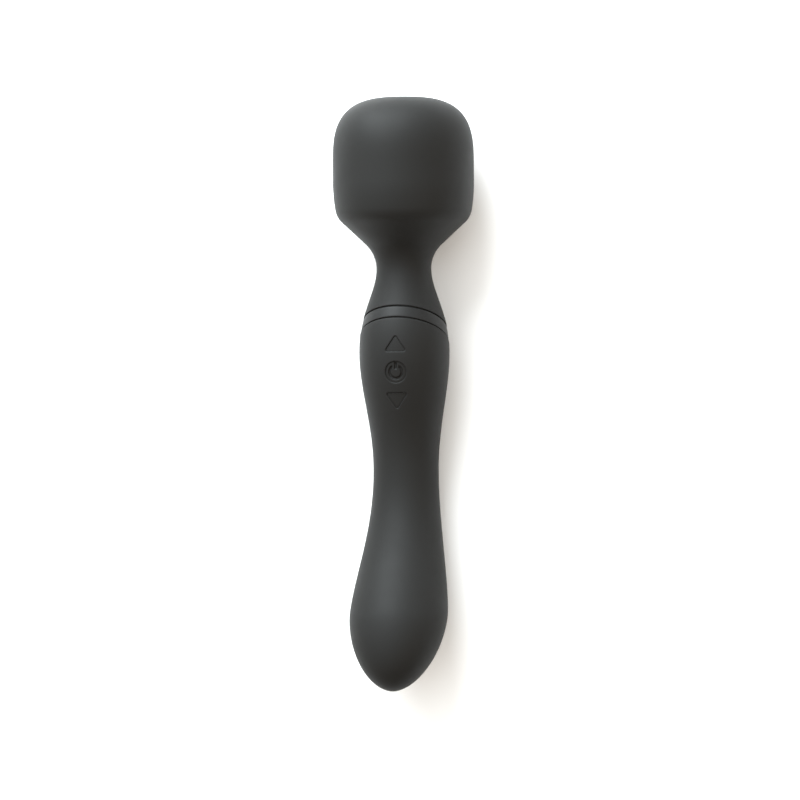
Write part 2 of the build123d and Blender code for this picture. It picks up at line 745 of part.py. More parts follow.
# from the small motor's back, past the cell, to the other plug
tail_terminal = tail_place.origin - tail_place.z_dir * (tail_motor_length + seat_gap)
with BuildPart() as tail_motor_leads:
    for back_x, plug_x in ((lead_places[1], 2.2), (lead_places[2], 4.2)):
        add(
            wire(
                [
                    (back_x, tail_terminal.Y, tail_terminal.Z),
                    (back_x, tail_terminal.Y + 8 * sin(lean), tail_terminal.Z + 8 * cos(lean)),
                    (back_x, lead_y, cell_bottom - 0.3),
                    (back_x, lead_y, turn_height),
                    (plug_x, 1.2, turn_height),
                    (plug_x, 1.2, plug_low),
                    (plug_x, plug_face, plug_low),
                ],
                lead_radius,
                bend,
            )
        )

pieces = {
    "head_cover": head_cover,
    "neck_sleeve": neck_sleeve,
    "neck_skirt": neck_skirt,
    "collar_ring": collar_ring,
    "handle_sleeve": handle_sleeve,
    "up_key": keys["up"],
    "power_key": keys["power"],
    "down_key": keys["down"],
    "up_plunger": plungers["up"],
    "power_plunger": plungers["power"],
    "down_plunger": plungers["down"],
    "battery_cell": battery_cell,
    "battery_tabs": battery_tabs,
    "circuit_board": circuit_board,
    "board_chips": board_chips,
    "wire_connectors": wire_connectors,
    "tact_switches": tact_switches,
    "charging_socket": charging_socket,
    "socket_pins": socket_pins,
    "neck_post": neck_post,
    "neck_spring": neck_spring,
    "head_motor_sleeve": head_motor_sleeve,
    "tail_motor_sleeve": tail_motor_sleeve,
    "head_cup": head_cup,
    "motor_plate": motor_plate,
    "plate_screws": plate_screws,
    "motor_screws": motor_screws,
    "head_lid": head_lid,
    "left_shell": shells["left"],
    "right_shell": shells["right"],
    "shell_screws": shell_screws,
    "head_motor_leads": head_motor_leads,
    "battery_leads": battery_leads,
    "tail_motor_leads": tail_motor_leads,
}
for end_name, motor in (("head", head_motor), ("tail", tail_motor)):
    for piece_name, piece in motor.items():
        pieces[f"{end_name}_{piece_name}"] = piece

# ---------------------------------------------------------------- laid on its back
back_points = [(height, sway(height) + handle_radius(height)) for height in range(40, 130)]
head_points = [(band_bottom - step, head_radius - step**2 / (2 * side_arc)) for step in range(11)]
rest_slope = min(
    max((head_back - back) / (head_height - height) for head_height, head_back in head_points)
    for height, back in back_points
)
tipped = Rotation(degrees(atan2(rest_slope, 1)) - 90, 0, 0)
resting = Compound([tipped * head_cover.part, tipped * handle_sleeve.part]).bounding_box()
laid = Location((0, -(resting.min.Y + resting.max.Y) / 2, -resting.min.Z)) * tipped

os.makedirs("parts", exist_ok=True)
for name, piece in pieces.items():
    finished = laid * piece.part
    finished.label = name
    export_step(finished, f"parts/{name}.step")
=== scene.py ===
import bmesh
import bpy
import json
import math
from mathutils import Matrix, Vector


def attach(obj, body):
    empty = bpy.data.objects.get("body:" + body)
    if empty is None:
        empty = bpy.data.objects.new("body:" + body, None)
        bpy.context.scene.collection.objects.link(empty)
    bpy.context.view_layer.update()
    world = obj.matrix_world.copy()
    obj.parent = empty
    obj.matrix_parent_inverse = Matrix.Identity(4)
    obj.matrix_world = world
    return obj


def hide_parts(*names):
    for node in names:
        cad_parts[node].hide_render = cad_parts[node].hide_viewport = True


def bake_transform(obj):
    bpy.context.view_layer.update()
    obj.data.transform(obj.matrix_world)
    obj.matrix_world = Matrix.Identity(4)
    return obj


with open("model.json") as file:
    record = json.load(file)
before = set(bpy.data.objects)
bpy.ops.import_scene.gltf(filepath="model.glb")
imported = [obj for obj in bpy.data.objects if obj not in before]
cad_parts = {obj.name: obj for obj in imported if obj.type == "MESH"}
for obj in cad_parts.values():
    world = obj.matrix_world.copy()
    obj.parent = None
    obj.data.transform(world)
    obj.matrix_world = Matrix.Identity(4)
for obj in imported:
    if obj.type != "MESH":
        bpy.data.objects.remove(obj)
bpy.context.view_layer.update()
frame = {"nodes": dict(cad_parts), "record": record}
record = frame["record"]
joints = {joint["name"]: joint for joint in record["behaviour"]["joints"]}

# The wand's own axes: heights run up the handle to the head, back is away from the keys.
axisUp = Vector(joints["head_motor_spin"]["axis"]).normalized()
axisFront = Vector(joints["neck_sway"]["axis"]).normalized()
axisRight = axisUp.cross(axisFront).normalized()
pitchHeight = 162.5  # mm from the tip to the neck's lower hinge
axisFoot = Vector(joints["neck_pitch"]["pos_m"]) - axisUp * pitchHeight / 1000


def place(x, back, height):
    # millimetres on the wand to metres in the row's frame
    return axisFoot + (axisRight * x - axisFront * back + axisUp * height) / 1000


wandShape = {
    "bulbHeight": 30.0, "bulbRadius": 19.6,
    "waistHeight": 87.0, "waistRadius": 13.1,
    "shoulderHeight": 134.0, "shoulderRadius": 18.1,
    "neckHeight": 168.0, "neckRadius": 11.0,
    "tipPowers": (1.8, 0.55),  # bluntness and fullness of the rounded end
    "skews": {"waist": 0.8, "shoulder": 1.1, "neck": 1.3},  # where each swell up to that place is steepest
    "bendOverWaist": 5.0,  # the bend starts this far above the waist
    "tipLean": 22.0, "bendLength": 46.0, "waistSag": 2.0,
    "headRadius": 28.3, "headBand": 8.0, "crownHeight": 26.6, "crownPower": 3.0, "crownSteps": 72,
    "flareAngle": 47.0, "neckArc": 13.5, "jawArc": 8.5, "sideArc": 63.0, "sideTurn": 10.0,
    "upperSeam": (146.5, 24.0), "lowerSeam": (140.6, 26.0),  # height on the axis, slope in degrees
}


def ease(share):
    share = min(1.0, max(0.0, share))
    return share * share * (3 - 2 * share)


def handleRadius(height):
    s = wandShape
    if height < s["bulbHeight"]:
        bluntness, fullness = s["tipPowers"]
        fromBulb = 1 - max(height, 0.0) / s["bulbHeight"]
        return s["bulbRadius"] * (1 - fromBulb ** bluntness) ** fullness
    for low, high in (("bulb", "waist"), ("waist", "shoulder"), ("shoulder", "neck")):
        if height <= s[high + "Height"] or high == "neck":
            share = (height - s[low + "Height"]) / (s[high + "Height"] - s[low + "Height"])
            swell = ease(min(1.0, share) ** s["skews"][high])
            return s[low + "Radius"] + (s[high + "Radius"] - s[low + "Radius"]) * swell


def sway(height):
    # how far the handle's middle lies behind the straight axis
    s = wandShape
    bendStart = s["waistHeight"] + s["bendOverWaist"]
    back = s["waistSag"] * ease((s["shoulderHeight"] - height) / (s["shoulderHeight"] - bendStart))
    share = (bendStart - height) / s["bendLength"]
    slope = math.tan(math.radians(s["tipLean"])) * s["bendLength"]
    if share <= 0:
        return back
    if share < 1:
        return back - slope * (share ** 3 - share ** 4 / 2)
    return back - slope * (share - 0.5)


def headProfile(spacing):
    # (radius, height) from the neck's slimmest place to the top of the dome
    s = wandShape
    flare, side = math.radians(s["flareAngle"]), math.radians(s["sideTurn"])
    points = []
    radius, height = s["neckRadius"], s["neckHeight"]

    def arc(size, start, end):
        nonlocal radius, height
        count = max(3, round(abs(end - start) * size / spacing))
        for step in range(count):
            a, b = (start + (end - start) * k / count for k in (step, step + 1))
            points.append((radius, height))
            middle, chord = (a + b) / 2, 2 * size * math.sin(abs(b - a) / 2)
            radius, height = radius + chord * math.sin(middle), height + chord * math.cos(middle)

    def run(length, angle):
        nonlocal radius, height
        count = max(1, round(length / spacing))
        for step in range(count):
            points.append((radius, height))
            radius += length / count * math.sin(angle)
            height += length / count * math.cos(angle)

    reach = s["neckArc"] * (1 - math.cos(flare)) + s["jawArc"] * (math.cos(side) - math.cos(flare))
    reach += s["sideArc"] * (1 - math.cos(side))
    arc(s["neckArc"], 0, flare)
    run((s["headRadius"] - s["neckRadius"] - reach) / math.sin(flare), flare)
    arc(s["jawArc"], flare, side)
    arc(s["sideArc"], side, 0)
    run(s["headBand"], 0)
    base, count = height, s["crownSteps"]
    for step in range(count + 1):
        # the power crowds the steps where the crown turns upright
        angle = math.pi / 2 * (step / count) ** 1.5
        across, up = math.cos(angle), math.sin(angle)
        power = 2 / s["crownPower"]
        points.append((s["headRadius"] * max(across, 0.0) ** power, base + s["crownHeight"] * up ** power))
    points[-1] = (0.0, base + s["crownHeight"])
    return points


def makeMesh(name, vertices, faces, material, smooth=True):
    mesh = bpy.data.meshes.new(name)
    mesh.from_pydata([tuple(v) for v in vertices], [], faces)
    mesh.validate()
    mesh.update()
    if smooth:
        mesh.polygons.foreach_set("use_smooth", [True] * len(mesh.polygons))
    made = bpy.data.objects.new(name, mesh)
    bpy.context.scene.collection.objects.link(made)
    made.data.materials.append(material)
    return made


def gridFaces(rows, columns):
    # rows of a tube that closes round
    faces = []
    for row in range(rows - 1):
        for column in range(columns):
            after = (column + 1) % columns
            faces.append((row * columns + column, row * columns + after,
                          (row + 1) * columns + after, (row + 1) * columns + column))
    return faces


def skinPoint(turn, height, inset=0.0):
    # turn 0 faces the front, height and inset in mm
    radius = handleRadius(height) - inset
    return place(radius * math.sin(turn), sway(height) - radius * math.cos(turn), height)


def seamHeight(turn, seam, lift=0.0):
    # where an oblique seam plane cuts the skin at a turn, found by a dozen closer and closer guesses
    middle, slope = seam
    height = middle
    for _ in range(12):
        back = sway(height) - handleRadius(height) * math.cos(turn)
        height = middle - math.tan(math.radians(slope)) * back
    return height + lift


print("form ready")


def groupSockets(tree, inputs, outputs):
    for name, kind, value in inputs:
        made = tree.interface.new_socket(name=name, in_out="INPUT", socket_type=kind)
        made.default_value = value
    for name, kind in outputs:
        tree.interface.new_socket(name=name, in_out="OUTPUT", socket_type=kind)
    return tree.nodes.new("NodeGroupInput"), tree.nodes.new("NodeGroupOutput")


def addNode(tree, kind, settings=(), inputs=()):
    # settings are the node's own properties, inputs are the values on its sockets
    node = tree.nodes.new(kind)
    for key, value in dict(settings).items():
        setattr(node, key, value)
    for key, value in dict(inputs).items():
        node.inputs[key].default_value = value
    return node


def makeSoftTouch():
    # matte silicone: cloudy tone, a fine moulded tooth and a few specks of lint
    tree = bpy.data.node_groups.new("softTouch", "ShaderNodeTree")
    source, result = groupSockets(tree, [
        ("Base", "NodeSocketColor", (0.04, 0.04, 0.04, 1)),
        ("Lint", "NodeSocketColor", (0.12, 0.12, 0.12, 1)),
        ("Lint Amount", "NodeSocketFloat", 0.3),
        ("Clouding", "NodeSocketFloat", 0.1),
        ("Roughness", "NodeSocketFloat", 0.55),
    ], [("Color", "NodeSocketColor"), ("Roughness", "NodeSocketFloat"), ("Height", "NodeSocketFloat")])
    link = tree.links.new
    where = addNode(tree, "ShaderNodeTexCoord")
    clouds = addNode(tree, "ShaderNodeTexNoise", inputs={"Scale": 38.0, "Detail": 3.0, "Roughness": 0.5})
    tooth = addNode(tree, "ShaderNodeTexNoise", inputs={"Scale": 2600.0, "Detail": 2.0, "Roughness": 0.6})
    specks = addNode(tree, "ShaderNodeTexVoronoi", inputs={"Scale": 420.0, "Randomness": 1.0})
    for texture in (clouds, tooth, specks):
        link(where.outputs["Object"], texture.inputs["Vector"])
    speckMask = addNode(tree, "ShaderNodeMapRange", inputs={
        "From Min": 0.05, "From Max": 0.11, "To Min": 1.0, "To Max": 0.0})
    link(specks.outputs["Distance"], speckMask.inputs["Value"])
    rare = addNode(tree, "ShaderNodeMapRange", inputs={"From Min": 0.80, "From Max": 0.9})
    link(specks.outputs["Color"], rare.inputs["Value"])
    speck = addNode(tree, "ShaderNodeMath", {"operation": "MULTIPLY"})
    link(speckMask.outputs["Result"], speck.inputs[0])
    link(rare.outputs["Result"], speck.inputs[1])
    speckShare = addNode(tree, "ShaderNodeMath", {"operation": "MULTIPLY"})
    link(speck.outputs["Value"], speckShare.inputs[0])
    link(source.outputs["Lint Amount"], speckShare.inputs[1])
    cloudRange = addNode(tree, "ShaderNodeMapRange", inputs={
        "From Min": 0.3, "From Max": 0.7, "To Min": -1.0, "To Max": 1.0})
    link(clouds.outputs["Fac"], cloudRange.inputs["Value"])
    cloudShare = addNode(tree, "ShaderNodeMath", {"operation": "MULTIPLY_ADD"}, {2: 1.0})
    link(cloudRange.outputs["Result"], cloudShare.inputs[0])
    link(source.outputs["Clouding"], cloudShare.inputs[1])
    tone = addNode(tree, "ShaderNodeVectorMath", {"operation": "SCALE"})
    link(source.outputs["Base"], tone.inputs[0])
    link(cloudShare.outputs["Value"], tone.inputs["Scale"])
    mix = addNode(tree, "ShaderNodeMix", {"data_type": "RGBA"})
    link(speckShare.outputs["Value"], mix.inputs["Factor"])
    link(tone.outputs["Vector"], mix.inputs["A"])
    link(source.outputs["Lint"], mix.inputs["B"])
    link(mix.outputs["Result"], result.inputs["Color"])
    rough = addNode(tree, "ShaderNodeMath", {"operation": "MULTIPLY_ADD"}, {1: 0.06})
    link(cloudRange.outputs["Result"], rough.inputs[0])
    link(source.outputs["Roughness"], rough.inputs[2])
    link(rough.outputs["Value"], result.inputs["Roughness"])
    height = addNode(tree, "ShaderNodeMath", {"operation": "MULTIPLY_ADD"}, {1: 0.8})
    link(speck.outputs["Value"], height.inputs[0])
    link(tooth.outputs["Fac"], height.inputs[2])
    link(height.outputs["Value"], result.inputs["Height"])
    return tree


def makeMouldGrain():
    # moulded plastic: fine spark grain, with a slow drift of tone and roughness
    tree = bpy.data.node_groups.new("mouldGrain", "ShaderNodeTree")
    source, result = groupSockets(tree, [
        ("Base", "NodeSocketColor", (0.1, 0.1, 0.1, 1)),
        ("Grain Scale", "NodeSocketFloat", 1800.0),
        ("Drift", "NodeSocketFloat", 0.1),
        ("Roughness", "NodeSocketFloat", 0.5),
        ("Roughness Spread", "NodeSocketFloat", 0.1),
    ], [("Color", "NodeSocketColor"), ("Roughness", "NodeSocketFloat"), ("Height", "NodeSocketFloat")])
    link = tree.links.new
    where = addNode(tree, "ShaderNodeTexCoord")
    grain = addNode(tree, "ShaderNodeTexNoise", inputs={"Detail": 3.0, "Roughness": 0.65})
    drift = addNode(tree, "ShaderNodeTexNoise", inputs={"Scale": 90.0, "Detail": 4.0})
    link(where.outputs["Object"], grain.inputs["Vector"])
    link(where.outputs["Object"], drift.inputs["Vector"])
    link(source.outputs["Grain Scale"], grain.inputs["Scale"])
    spread = addNode(tree, "ShaderNodeMapRange", inputs={
        "From Min": 0.3, "From Max": 0.7, "To Min": -1.0, "To Max": 1.0})
    link(drift.outputs["Fac"], spread.inputs["Value"])
    share = addNode(tree, "ShaderNodeMath", {"operation": "MULTIPLY_ADD"}, {2: 1.0})
    link(spread.outputs["Result"], share.inputs[0])
    link(source.outputs["Drift"], share.inputs[1])
    tone = addNode(tree, "ShaderNodeVectorMath", {"operation": "SCALE"})
    link(source.outputs["Base"], tone.inputs[0])
    link(share.outputs["Value"], tone.inputs["Scale"])
    link(tone.outputs["Vector"], result.inputs["Color"])
    rough = addNode(tree, "ShaderNodeMath", {"operation": "MULTIPLY_ADD"})
    link(spread.outputs["Result"], rough.inputs[0])
    link(source.outputs["Roughness Spread"], rough.inputs[1])
    link(source.outputs["Roughness"], rough.inputs[2])
    link(rough.outputs["Value"], result.inputs["Roughness"])
    link(grain.outputs["Fac"], result.inputs["Height"])
    return tree


def makeMetalFinish():
    # drawn or plated metal: stretched scratches and blotchy tarnish
    tree = bpy.data.node_groups.new("metalFinish", "ShaderNodeTree")
    source, result = groupSockets(tree, [
        ("Base", "NodeSocketColor", (0.6, 0.6, 0.6, 1)),
        ("Tarnish", "NodeSocketColor", (0.3, 0.3, 0.3, 1)),
        ("Tarnish Amount", "NodeSocketFloat", 0.3),
        ("Scratch Scale", "NodeSocketFloat", 900.0),
        ("Roughness", "NodeSocketFloat", 0.35),
    ], [("Color", "NodeSocketColor"), ("Roughness", "NodeSocketFloat"), ("Height", "NodeSocketFloat")])
    link = tree.links.new
    where = addNode(tree, "ShaderNodeTexCoord")
    stretch = addNode(tree, "ShaderNodeMapping", inputs={"Scale": (1.0, 0.08, 1.0)})
    link(where.outputs["Object"], stretch.inputs["Vector"])
    scratch = addNode(tree, "ShaderNodeTexNoise", inputs={"Detail": 5.0, "Roughness": 0.7})
    link(stretch.outputs["Vector"], scratch.inputs["Vector"])
    link(source.outputs["Scratch Scale"], scratch.inputs["Scale"])
    blotch = addNode(tree, "ShaderNodeTexNoise", inputs={"Scale": 240.0, "Detail": 5.0, "Roughness": 0.6})
    link(where.outputs["Object"], blotch.inputs["Vector"])
    patch = addNode(tree, "ShaderNodeMapRange", inputs={"From Min": 0.45, "From Max": 0.7})
    link(blotch.outputs["Fac"], patch.inputs["Value"])
    share = addNode(tree, "ShaderNodeMath", {"operation": "MULTIPLY"})
    link(patch.outputs["Result"], share.inputs[0])
    link(source.outputs["Tarnish Amount"], share.inputs[1])
    mix = addNode(tree, "ShaderNodeMix", {"data_type": "RGBA"})
    link(share.outputs["Value"], mix.inputs["Factor"])
    link(source.outputs["Base"], mix.inputs["A"])
    link(source.outputs["Tarnish"], mix.inputs["B"])
    link(mix.outputs["Result"], result.inputs["Color"])
    rough = addNode(tree, "ShaderNodeMath", {"operation": "MULTIPLY_ADD"}, {1: 0.3})
    link(share.outputs["Value"], rough.inputs[0])
    link(source.outputs["Roughness"], rough.inputs[2])
    link(rough.outputs["Value"], result.inputs["Roughness"])
    link(scratch.outputs["Fac"], result.inputs["Height"])
    return tree


softTouch, mouldGrain, metalFinish = makeSoftTouch(), makeMouldGrain(), makeMetalFinish()


def makeFinish(name, group, values, bump, shader=()):
    # a Principled shader fed by one of the effects above; bump is a strength and a distance in metres
    material = bpy.data.materials.new(name)
    material.use_nodes = True
    tree = material.node_tree
    surface = tree.nodes["Principled BSDF"]
    effect = tree.nodes.new("ShaderNodeGroup")
    effect.node_tree = group
    for key, value in values.items():
        effect.inputs[key].default_value = value
    for key, value in dict(shader).items():
        surface.inputs[key].default_value = value
    strength, distance = bump
    relief = addNode(tree, "ShaderNodeBump", inputs={"Strength": strength, "Distance": distance})
    tree.links.new(effect.outputs["Height"], relief.inputs["Height"])
    tree.links.new(relief.outputs["Normal"], surface.inputs["Normal"])
    tree.links.new(effect.outputs["Color"], surface.inputs["Base Color"])
    tree.links.new(effect.outputs["Roughness"], surface.inputs["Roughness"])
    return material


siliconeLook = {
    "Base": (0.0092, 0.0092, 0.0089, 1), "Lint": (0.03, 0.03, 0.03, 1), "Lint Amount": 0.25,
    "Clouding": 0.06, "Roughness": 0.58,
}
siliconeShader = {"Specular IOR Level": 0.17}
keyLook = {**siliconeLook, "Roughness": 0.52}
bandLook = {
    "Base": (0.0080, 0.0081, 0.0080, 1), "Grain Scale": 2400.0, "Drift": 0.06, "Roughness": 0.48,
    "Roughness Spread": 0.04,
}
skinSilicone = makeFinish("skinSilicone", softTouch, siliconeLook, (0.25, 0.00004), siliconeShader)
keySilicone = makeFinish("keySilicone", softTouch, keyLook, (0.2, 0.00004), siliconeShader)
bandPlastic = makeFinish("bandPlastic", mouldGrain, bandLook, (0.15, 0.00003), {"Specular IOR Level": 0.2})

plastics = {  # slot: base colour, roughness, grain scale
    "black_plastic": ((0.03, 0.03, 0.031), 0.5, 1600.0),
    "grey_nylon": ((0.25, 0.25, 0.26), 0.55, 1400.0),
    "white_plastic": ((0.78, 0.76, 0.7), 0.42, 2000.0),
    "cell_wrap": ((0.03, 0.12, 0.36), 0.25, 500.0),
    "board_green": ((0.015, 0.16, 0.06), 0.3, 3000.0),
    "chip_black": ((0.02, 0.02, 0.021), 0.45, 2600.0),
    "grey_rubber": ((0.09, 0.09, 0.092), 0.75, 1200.0),
    "red_wire": ((0.5, 0.03, 0.025), 0.35, 900.0),
    "blue_wire": ((0.03, 0.08, 0.4), 0.35, 900.0),
}
metals = {  # slot: base colour, tarnish, tarnish amount, roughness, scratch scale
    "nickel": ((0.66, 0.63, 0.56), (0.4, 0.37, 0.3), 0.25, 0.28, 1500.0),
    "switch_metal": ((0.6, 0.6, 0.6), (0.35, 0.35, 0.36), 0.2, 0.3, 1800.0),
    "brass": ((0.7, 0.48, 0.2), (0.35, 0.22, 0.08), 0.3, 0.3, 2200.0),
    "spring_steel": ((0.42, 0.42, 0.43), (0.16, 0.15, 0.14), 0.4, 0.32, 700.0),
    "shaft_steel": ((0.62, 0.62, 0.63), (0.4, 0.4, 0.41), 0.15, 0.2, 2600.0),
    "cast_weight": ((0.3, 0.3, 0.31), (0.12, 0.11, 0.1), 0.5, 0.5, 500.0),
    "ferrite": ((0.1, 0.1, 0.105), (0.04, 0.04, 0.04), 0.4, 0.62, 900.0),
    "copper": ((0.68, 0.3, 0.14), (0.3, 0.1, 0.05), 0.35, 0.35, 3000.0),
    "zinc_plate": ((0.6, 0.62, 0.64), (0.42, 0.4, 0.33), 0.3, 0.33, 1100.0),
}
finishes = {"black_silicone": skinSilicone, "satin_black_plastic": bandPlastic}
for slotName, (color, roughness, grain) in plastics.items():
    plasticLook = {"Base": (*color, 1), "Grain Scale": grain, "Drift": 0.12, "Roughness": roughness,
                   "Roughness Spread": 0.08}
    finishes[slotName] = makeFinish(slotName, mouldGrain, plasticLook, (0.3, 0.00008))
for slotName, (color, tarnish, amount, roughness, scratch) in metals.items():
    metalLook = {"Base": (*color, 1), "Tarnish": (*tarnish, 1), "Tarnish Amount": amount,
                 "Scratch Scale": scratch, "Roughness": roughness}
    finishes[slotName] = makeFinish(slotName, metalFinish, metalLook, (0.25, 0.00005), {"Metallic": 1.0})

for subpart in record["subparts"]:
    node = frame["nodes"][subpart["node"]]
    finish = finishes[subpart["material_slot"]]
    if node.material_slots:
        for materialSlot in node.material_slots:
            materialSlot.material = finish
    else:
        node.data.materials.append(finish)
print("finishes ready")


skinDetail = {
    "columns": 160, "headSpacing": 0.7, "neckSpacing": 0.45, "neckRows": 26, "skirtRows": 18, "bandRows": 12,
    "bulbRows": 34, "gripRows": 70, "lipRows": 14, "sideColumns": 96,
}
flexLow, flexHigh = 157.0, 179.0  # heights between which the neck bends


def columnTurns(count):
    return [2 * math.pi * column / count for column in range(count)]


def revolveSkin(name, profile, closedTop):
    # a lathe-turned skin; the top closes on one point if closedTop
    turns = columnTurns(skinDetail["columns"])
    rings = profile[:-1] if closedTop else profile
    vertices = [place(radius * math.sin(turn), -radius * math.cos(turn), height)
                for radius, height in rings for turn in turns]
    faces = gridFaces(len(rings), len(turns))
    if closedTop:
        vertices.append(place(0, 0, profile[-1][1]))
        last = (len(rings) - 1) * len(turns)
        faces += [(last + column, last + (column + 1) % len(turns), len(vertices) - 1)
                  for column in range(len(turns))]
    return makeMesh(name, vertices, faces, skinSilicone)


wholeHead = headProfile(skinDetail["headSpacing"])
fineHead = headProfile(skinDetail["neckSpacing"])


def radiusAt(profile, height):
    for (r0, z0), (r1, z1) in zip(profile, profile[1:]):
        if z0 <= height <= z1:
            return r0 + (r1 - r0) * (height - z0) / max(z1 - z0, 1e-9)
    return profile[-1][0]


# both skins share this ring, and the rows nearest to it are left out
seamRing = (radiusAt(fineHead, flexHigh), flexHigh)
headSkin = revolveSkin("headSkin", [seamRing] + [p for p in wholeHead if p[1] > flexHigh + 0.1], True)
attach(headSkin, "head")
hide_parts("head_cover")

upperNeck = revolveSkin("upperNeckSkin", [p for p in fineHead if p[1] < flexHigh - 0.05] + [seamRing], False)
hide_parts("neck_sleeve")

neckSteps = skinDetail["neckRows"]
lowerLength = wandShape["neckHeight"] - flexLow
lowerHeights = [flexLow + lowerLength * step / neckSteps for step in range(neckSteps + 1)]
lowerProfile = [(handleRadius(height), height) for height in lowerHeights]
lowerNeck = revolveSkin("lowerNeckSkin", lowerProfile, False)
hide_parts("neck_sleeve")
neckMiddle = place(0, 0, wandShape["neckHeight"])
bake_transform(upperNeck)
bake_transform(lowerNeck)
print("head and neck ready")

innerNames = {"neck_spring": "NeckSpring", "head_motor_leads": "HeadLeads"}
innerLayers = 11  # level cuts across the stretch where the neck bends; an odd number misses the neck's middle


def bendInner(nodeName):
    # a part inside the neck, cut in two halves at the neck's middle
    slotName = next(part["material_slot"] for part in record["subparts"] if part["node"] == nodeName)
    for half, upper in (("lower", False), ("upper", True)):
        shape = bmesh.new()
        shape.from_mesh(frame["nodes"][nodeName].data)
        bmesh.ops.remove_doubles(shape, verts=shape.verts[:], dist=1e-7)
        for layer in range(innerLayers + 1):
            level = flexLow + (flexHigh - flexLow) * layer / innerLayers
            bmesh.ops.bisect_plane(shape, geom=shape.verts[:] + shape.edges[:] + shape.faces[:],
                                   plane_co=place(0, 0, level), plane_no=axisUp)
        cut = bmesh.ops.bisect_plane(shape, geom=shape.verts[:] + shape.edges[:] + shape.faces[:],
                                     plane_co=neckMiddle, plane_no=axisUp, clear_inner=upper,
                                     clear_outer=not upper)
        rims = [item for item in cut["geom_cut"] if isinstance(item, bmesh.types.BMEdge)]
        bmesh.ops.holes_fill(shape, edges=rims)
        mesh = bpy.data.meshes.new(half + innerNames[nodeName])
        shape.to_mesh(mesh)
        shape.free()
        made = bpy.data.objects.new(mesh.name, mesh)
        bpy.context.scene.collection.objects.link(made)
        mesh.materials.append(finishes[slotName])
        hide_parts(nodeName)
        if upper:
            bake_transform(made)
        else:
            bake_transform(made)


for nodeName in innerNames:
    bendInner(nodeName)
print("spring and leads ready")


seamLook = {
    "gap": 0.3, "edgeRounding": 0.45, "edgeSteps": 5, "edgeDepth": 1.4, "bandRecess": 0.18,
    "floorInset": 1.35, "floorReach": 1.2,
}


def roundedEdge():
    # (distance from the edge, inset) from the deep side of the groove out to the skin
    rounding, steps, depth = (seamLook[key] for key in ("edgeRounding", "edgeSteps", "edgeDepth"))
    points = [(0.0, depth), (0.0, (depth + rounding) / 2)]
    for step in range(steps + 1):
        angle = math.pi / 2 * step / steps
        points.append((rounding * (1 - math.cos(angle)), rounding * (1 - math.sin(angle))))
    return points


def seamTube(name, lowEdge, highEdge, rows, recess, material):
    # a tube of skin between two edges; each is a function of the turn, and whether that edge is rounded
    turns = columnTurns(skinDetail["columns"])
    low, lowRound = lowEdge
    high, highRound = highEdge
    rounding = seamLook["edgeRounding"]
    lowRim = roundedEdge() if lowRound else [(0.0, 0.0)]
    highRim = roundedEdge()[::-1] if highRound else [(0.0, 0.0)]
    vertices = []
    for offset, inset in lowRim:
        vertices += [skinPoint(turn, low(turn) + offset, inset + recess) for turn in turns]
    for row in range(1, rows):
        for turn in turns:
            start = low(turn) + (rounding if lowRound else 0)
            end = high(turn) - (rounding if highRound else 0)
            vertices.append(skinPoint(turn, start + (end - start) * row / rows, recess))
    for offset, inset in highRim:
        vertices += [skinPoint(turn, high(turn) - offset, inset + recess) for turn in turns]
    return makeMesh(name, vertices, gridFaces(len(vertices) // len(turns), len(turns)), material)


halfGap = seamLook["gap"] / 2
upperSeam, lowerSeam = wandShape["upperSeam"], wandShape["lowerSeam"]
skirt = seamTube("neckSkirt", (lambda turn: seamHeight(turn, upperSeam, halfGap), True),
                 (lambda turn: flexLow, False), skinDetail["skirtRows"], 0.0, skinSilicone)
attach(skirt, "handle")
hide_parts("neck_skirt")

band = seamTube("collarBand", (lambda turn: seamHeight(turn, lowerSeam, halfGap), True),
                (lambda turn: seamHeight(turn, upperSeam, -halfGap), True), skinDetail["bandRows"],
                seamLook["bandRecess"], bandPlastic)
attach(band, "handle")
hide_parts("collar_ring")

# the dark floor of both grooves
grooveTurns = columnTurns(skinDetail["columns"])
grooveVertices = []
for seam in (lowerSeam, upperSeam):
    for lift in (-seamLook["floorReach"], seamLook["floorReach"]):
        grooveVertices += [skinPoint(turn, seamHeight(turn, seam, lift), seamLook["floorInset"])
                           for turn in grooveTurns]
grooveFaces = gridFaces(4, len(grooveTurns))
grooveFloor = makeMesh("grooveFloor", grooveVertices, grooveFaces, finishes["black_plastic"])
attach(grooveFloor, "handle")
print("skirt and band ready")


keyShape = {
    "powerHeight": 126.6, "reach": 8.3, "arrowBase": 8.8, "arrowRise": 6.4, "powerRadius": 4.2,
    "cornerRounding": 0.55, "cornerSpread": 1.2,  # spread gives the corners more than their share of samples
    "openingRounding": 0.5, "openingDepths": (0.9, 1.7), "roundingSteps": 8,
    "gap": 0.03, "faceRounding": 0.08, "faceSteps": 5, "wallDepths": (1.9, 0.8),  # below the key's face
    "faceDepth": {"up": 0.42, "power": 0.42, "down": 0.3},
    "faceRings": {"up": 8, "power": 26, "down": 8},
    "tileHalfWidth": 7.0, "tileColumns": 24, "tileRowHeight": 1.2, "rimSamples": 120,
    "powerTileReach": 5.6, "arrowTileReach": 6.6,  # from a key's centre to the edge of its patch of skin
}
k = keyShape
keyCentres = {
    "up": k["powerHeight"] + k["reach"] + k["arrowRise"] / 3,
    "power": k["powerHeight"],
    "down": k["powerHeight"] - k["reach"] - k["arrowRise"] / 3,
}
powerTile = (k["powerHeight"] - k["powerTileReach"], k["powerHeight"] + k["powerTileReach"])
tileEdges = {
    "down": (keyCentres["down"] - k["arrowTileReach"], powerTile[0]),
    "power": powerTile,
    "up": (powerTile[1], keyCentres["up"] + k["arrowTileReach"]),
}


